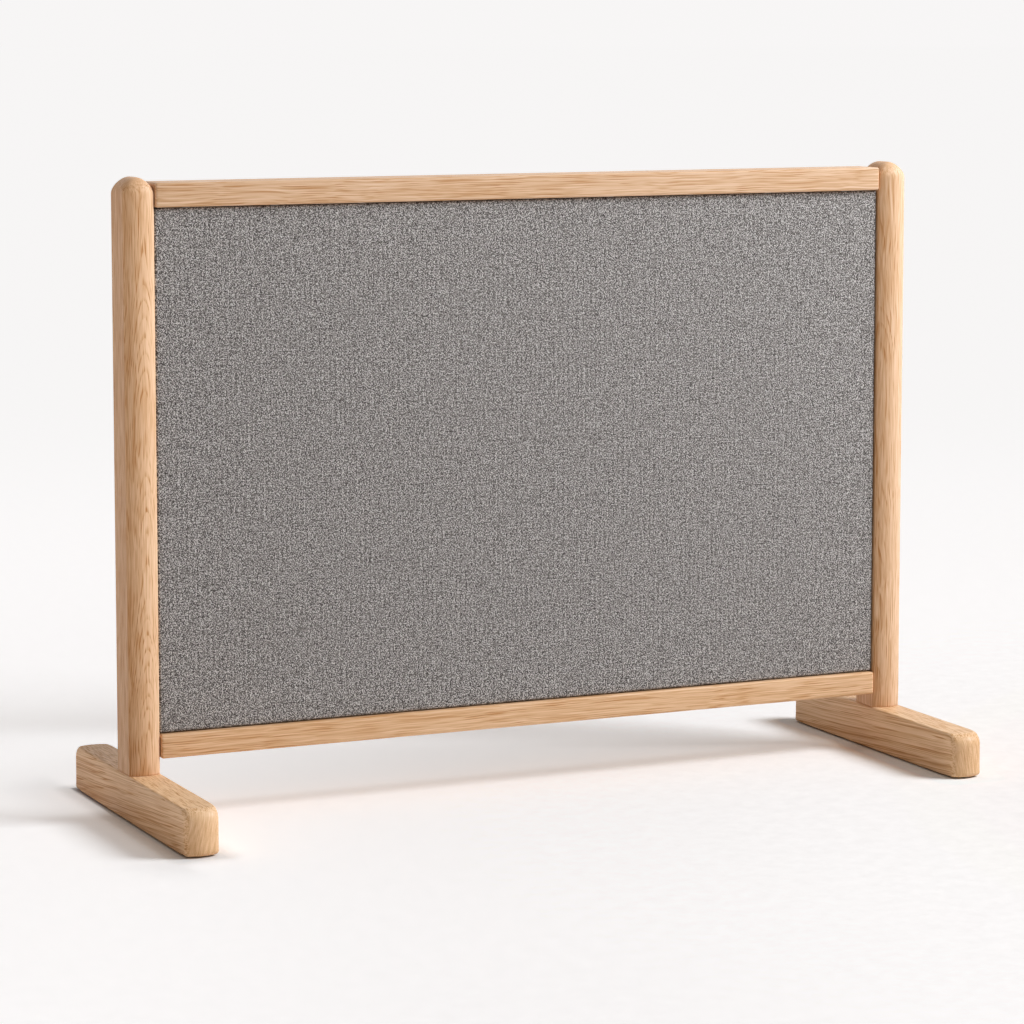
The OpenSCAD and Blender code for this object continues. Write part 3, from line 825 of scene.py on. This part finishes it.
oak_left_foot = oak("oak_left_foot", "left_foot", turned(Y, (0, 0, -1), 4.5), turned((-1, 0, 0), turned(Z, Y, 4.5), 12), 42.0,
                    (0.815, 0.500, 0.268), pith=0.45, tilt=0.012, wander=0.45, layers=0.16, lines=0.5, streaks=1.30,
                    broads=0.3, ends=4.2, painted_light_slope=(3.0, -0.50, 4.0), short=0.28, swerve=0.25)
oak_right_foot = oak("oak_right_foot", "right_foot", turned(Y, (0, 0, -1), 3.5), turned((-1, 0, 0), turned(Z, Y, 3.5), -10), 57.0,
                     (0.750, 0.468, 0.258), pith=0.50, tilt=-0.010, wander=0.45, layers=0.16, lines=0.5, streaks=1.35,
                     broads=0.3, ends=4.2, painted_light_slope=(-1.0, -0.15, 1.0), short=0.28, swerve=0.25)

make_post("left_post_oak", "left_post", oak_left_post)
make_post("right_post_oak", "right_post", oak_right_post)
make_rail("top_rail_oak", "top_rail", oak_top_rail)
make_rail("bottom_rail_oak", "bottom_rail", oak_bottom_rail)
make_foot("left_foot_oak", "left_foot", oak_left_foot)
make_foot("right_foot_oak", "right_foot", oak_right_foot)

wool_front = wool("wool_front", 5.0)
wool_back = wool("wool_back", 17.0)
make_cover("front_cover", "front_fabric", -1, wool_front)
make_cover("back_cover", "back_fabric", 1, wool_back)

# CAD nodes that stay: pads in view, the rest inside the screen
softwood_up = pale_wood("softwood_stile", Z, (0.74, 0.55, 0.34), (0.60, 0.40, 0.21), 3.0)
softwood_across = pale_wood("softwood_batten", X, (0.74, 0.55, 0.34), (0.60, 0.40, 0.21), 8.0)
beech = pale_wood("beech_dowel", X, (0.72, 0.47, 0.29), (0.60, 0.36, 0.20), 5.0)
fibreboard = speckled("fibreboard", (0.16, 0.09, 0.05), (0.30, 0.19, 0.11), 700.0, 0.8)
felt = speckled("absorber_felt", (0.42, 0.43, 0.42), (0.66, 0.67, 0.65), 420.0, 0.95, (1.0, 3.0, 1.0))
pad_mat = rubber()
steel = zinc()

finish_of = {
    "left_foot_pads": pad_mat,
    "right_foot_pads": pad_mat,
    "foot_bolts": steel,
    "foot_washers": steel,
    "post_inserts": steel,
    "rail_dowels": beech,
    "panel_dowels": beech,
    "panel_stile_left": softwood_up,
    "panel_stile_right": softwood_up,
    "panel_batten_top": softwood_across,
    "panel_batten_bottom": softwood_across,
    "panel_corner_screws": steel,
    "septum_board": fibreboard,
    "front_absorber": felt,
    "back_absorber": felt,
    "front_fabric_staples": steel,
    "back_fabric_staples": steel,
    "front_fabric": wool_front,
    "back_fabric": wool_back,
    "left_post": oak_left_post,
    "right_post": oak_right_post,
    "top_rail": oak_top_rail,
    "bottom_rail": oak_bottom_rail,
    "left_foot": oak_left_foot,
    "right_foot": oak_right_foot,
}
for node_name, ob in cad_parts.items():
    mat = finish_of[node_name]
    if ob.material_slots:
        for ms in ob.material_slots:
            ms.link = "OBJECT"
            ms.material = mat
    else:
        ob.data.materials.append(mat)

# ---------------------------------------------------------------- floor and light

KEY_AT = (2.86, -1.65, 2.85)
KEY_AIM = (0.0, 0.0, 0.44)
KEY_POWER = 168.0
KEY_COLOUR = (1.0, 1.055, 1.11)
TOP_AT = (-0.2, 0.4, 3.0)
TOP_POWER = 18.0
SKY = 0.17
SKY_COLOUR = (1.0, 0.93, 0.86)
FLOOR_ALBEDO = (0.870, 0.862, 0.859)
FLOOR_NEAR = (0.968, 0.948, 0.945)
# painted light: glow added in the screen's long shadow on the floor
SHADOW_FILL_GLOW = (0.265, 0.278, 0.292)
# painted contact shadow: glow taken away round the feet
PAINTED_CONTACT_SHADOW = (0.178, 0.168, 0.166)
FLOOR_FAR = (0.930, 0.917, 0.913)


def softbox(name, where, target, size, power, colour=(1, 1, 1)):
    data = bpy.data.lights.new(name, "AREA")
    data.shape = "RECTANGLE"
    data.size, data.size_y = size
    data.energy = power
    data.color = colour
    ob = bpy.data.objects.new(name, data)
    ob.location = where
    ob.rotation_euler = (Vector(target) - Vector(where)).to_track_quat("-Z", "Y").to_euler()
    ob.visible_camera = False
    bpy.context.scene.collection.objects.link(ob)
    return ob


softbox("key", KEY_AT, KEY_AIM, (1.6, 1.6), KEY_POWER, KEY_COLOUR)
softbox("overhead", TOP_AT, (TOP_AT[0], TOP_AT[1], 0.0), (3.0, 3.0), TOP_POWER)

# a floor that stays evenly bright, as a lit sweep does: what the lamps give less of further out, the sweep's own glow
# makes up.
# The glow also paints light into the screen's long shadow, paints a contact shadow round the feet, paints shade in a
# band near the screen's middle and paints light towards the right
floor_mesh = bpy.data.meshes.new("floor")
ring_n = 96
floor_mesh.from_pydata(
    [(0, 0, 0)] + [(r * math.cos(2 * math.pi * k / ring_n), r * math.sin(2 * math.pi * k / ring_n), 0)
                   for r in (1.5, 4.0, 12.0, 40.0, 160.0, 600.0) for k in range(ring_n)],
    [],
    [(0, 1 + k, 1 + (k + 1) % ring_n) for k in range(ring_n)]
    + [(1 + i * ring_n + k, 1 + (i + 1) * ring_n + k, 1 + (i + 1) * ring_n + (k + 1) % ring_n,
        1 + i * ring_n + (k + 1) % ring_n) for i in range(5) for k in range(ring_n)],
)
floor = bpy.data.objects.new("floor", floor_mesh)
bpy.context.scene.collection.objects.link(floor)
ft = Tree("floor_white")
fc = ft.coords()
fn = ft.noise(ft.scaled(fc, (38.0, 38.0, 38.0)), 4.0, 0.72)
mottle = ft.ramp(fn, [(0.3, tuple(a - 0.030 for a in FLOOR_ALBEDO)), (0.7, tuple(a + 0.030 for a in FLOOR_ALBEDO))])
ft.bsdf.inputs["Roughness"].default_value = 0.8
ft.bsdf.inputs["Specular IOR Level"].default_value = 0.0
# light of the key on the floor
to_key = ft.scaled(fc, (-1.0, -1.0, -1.0), KEY_AT)
aim = (Vector(KEY_AT) - Vector(KEY_AIM)).normalized()
lit = ft.math("MAXIMUM", ft.dot(to_key, tuple(aim)), 0.0)
key_light = ft.math("DIVIDE", ft.mul(lit, KEY_POWER / math.pi**2 * KEY_AT[2]), ft.math("POWER", ft.length(to_key), 4.0))
# light of the large overhead lamp: its size makes it weaker close by than a small one
to_top = ft.length(ft.scaled(fc, (-1.0, -1.0, -1.0), TOP_AT))
soft_top = ft.add(ft.mul(to_top, to_top), 0.152 * TOP_AT[2] ** 2)
top_light = ft.math("DIVIDE", TOP_POWER / math.pi**2 * TOP_AT[2] ** 2, ft.mul(soft_top, soft_top))
# the long shadow behind the screen: there the glow paints light, lightening the cast shadow
across_shadow = ft.math("ABSOLUTE", ft.add(ft.dot(fc, (1.0, 1.73, 0.0)), -0.038))
shade = ft.mul(ft.mul(ft.sub(1.0, ft.smooth(across_shadow, 0.42, 0.78)), ft.smooth(ft.dot(fc, Y), 0.03, 0.10)),
               ft.sub(1.0, ft.smooth(ft.dot(fc, Y), 0.45, 0.85)))
# painted contact shadow: close round the feet the sweep glows less, most of all on their shaded side
beside_foot = ft.math("MAXIMUM", ft.sub(ft.math("ABSOLUTE", ft.sub(ft.math("ABSOLUTE", ft.dot(fc, X)), 0.578)), 0.024), 0.0)
past_foot = ft.math("MAXIMUM", ft.sub(ft.math("ABSOLUTE", ft.dot(fc, Y)), 0.2375), 0.0)
gap = ft.math("SQRT", ft.add(ft.mul(beside_foot, beside_foot), ft.mul(past_foot, past_foot)))
painted_contact_shadow_mask = ft.add(ft.mul(ft.sub(1.0, ft.smooth(gap, 0.0, 0.007)), 2.0), ft.mul(ft.sub(1.0, ft.smooth(gap, 0.0, 0.035)), 1.35),
               ft.mul(ft.mul(ft.sub(1.0, ft.smooth(gap, 0.02, 0.13)), 0.60), ft.span(ft.dot(fc, X), -0.62, -0.60, 1.0, 0.0)))
# painted shade: near the screen the glow dips in a band through the middle of the view
across = ft.dot(fc, (0.908, -0.419, 0.0))
painted_shade_dip = ft.sub(1.0, ft.smooth(ft.math("ABSOLUTE", across), 0.05, 0.60))
far = ft.smooth(ft.length(fc), 1.4, 5.0)
near = ft.sub(1.0, ft.smooth(ft.length(fc), 1.2, 2.6))
painted_shade_dip = ft.mul(painted_shade_dip, near)
# painted light: near the screen the floor glows brighter towards the right, the key lamp's side
side = ft.mul(ft.span(across, -0.62, 0.62, -0.008, 0.022), near)
glow, dimmed = [], []
for c in range(3):
    level = ft.add(FLOOR_NEAR[c] - FLOOR_ALBEDO[c] * SKY * SKY_COLOUR[c], ft.mul(far, FLOOR_FAR[c] - FLOOR_NEAR[c]), side)
    rest = ft.sub(ft.sub(level, ft.mul(key_light, FLOOR_ALBEDO[c] * KEY_COLOUR[c])), ft.mul(top_light, FLOOR_ALBEDO[c]))
    lamps = ft.mul(ft.add(ft.mul(key_light, KEY_COLOUR[c]), top_light), FLOOR_ALBEDO[c] + 0.01)
    dimmed.append(ft.math("MINIMUM", ft.math("DIVIDE", level, ft.math("MAXIMUM", lamps, 0.05)), 1.0))
    # painted contact shadow taken out of the glow; painted light added in the long shadow, painted shade in the dip
    rest = ft.sub(rest, ft.mul(painted_contact_shadow_mask, PAINTED_CONTACT_SHADOW[c]))
    glow.append(ft.math("MAXIMUM", ft.add(rest, ft.mul(shade, SHADOW_FILL_GLOW[c]), ft.mul(painted_shade_dip, -0.034)), 0.0))
ft.link(ft.xyz(*glow), ft.bsdf.inputs["Emission Color"])
ft.link(ft.mix(1.0, mottle, ft.xyz(*dimmed), "MULTIPLY"), ft.bsdf.inputs["Base Color"])
ft.bsdf.inputs["Emission Strength"].default_value = 1.0
floor_mesh.materials.append(ft.mat)

# soft light from all round; the camera and the gloss see the sweep behind instead
world = bpy.data.worlds.new("studio")
world.use_nodes = True
wt = world.node_tree
bg = wt.nodes["Background"]
path = wt.nodes.new("ShaderNodeLightPath")
tone = wt.nodes.new("ShaderNodeMix")
tone.data_type = "RGBA"
seen = wt.nodes.new("ShaderNodeMath")
seen.operation = "MAXIMUM"
wt.links.new(path.outputs["Is Camera Ray"], seen.inputs[0])
wt.links.new(path.outputs["Is Glossy Ray"], seen.inputs[1])
wt.links.new(seen.outputs[0], tone.inputs["Factor"])
tone.inputs[6].default_value = (*(SKY * v for v in SKY_COLOUR), 1.0)
# the sweep behind brightens a little to the right
facing = wt.nodes.new("ShaderNodeTexCoord")
parts = wt.nodes.new("ShaderNodeSeparateXYZ")
wt.links.new(facing.outputs["Generated"], parts.inputs[0])
across_sweep = wt.nodes.new("ShaderNodeMapRange")
across_sweep.inputs["From Min"].default_value = 0.25
across_sweep.inputs["From Max"].default_value = 0.58
wt.links.new(parts.outputs["X"], across_sweep.inputs["Value"])
sweep = wt.nodes.new("ShaderNodeMix")
sweep.data_type = "RGBA"
wt.links.new(across_sweep.outputs["Result"], sweep.inputs["Factor"])
sweep.inputs[6].default_value = (0.930, 0.916, 0.912, 1.0)
sweep.inputs[7].default_value = (0.937, 0.923, 0.920, 1.0)
wt.links.new(sweep.outputs[2], tone.inputs[7])
wt.links.new(tone.outputs[2], bg.inputs["Color"])
bg.inputs["Strength"].default_value = 1.0
bpy.context.scene.world = world
